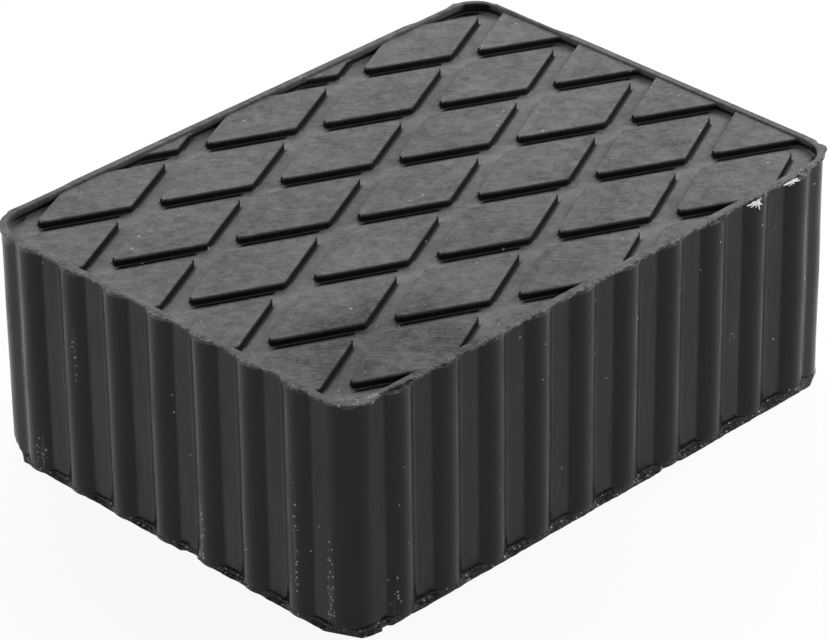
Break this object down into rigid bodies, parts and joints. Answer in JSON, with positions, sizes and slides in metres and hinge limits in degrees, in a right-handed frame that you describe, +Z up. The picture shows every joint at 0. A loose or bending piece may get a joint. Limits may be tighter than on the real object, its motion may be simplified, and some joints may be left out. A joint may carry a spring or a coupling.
{
  "type": "car lift rubber pad",
  "caption": "Moulded rubber block with ribbed sides and a lozenge tread inside a low rim, placed on a lift arm to carry a car at its jacking point.",
  "frame": {"origin": "middle of the flat foot that the block stands on", "axes": "+X along the length, +Y across the width, +Z up through the tread"},
  "size_m": [0.162, 0.12, 0.0595],
  "materials": {
    "black_rubber": "satin, lightly scuffed"
  },
  "bodies": {
    "root": {"rubber_block": "black_rubber"}
  },
  "joints": []
}
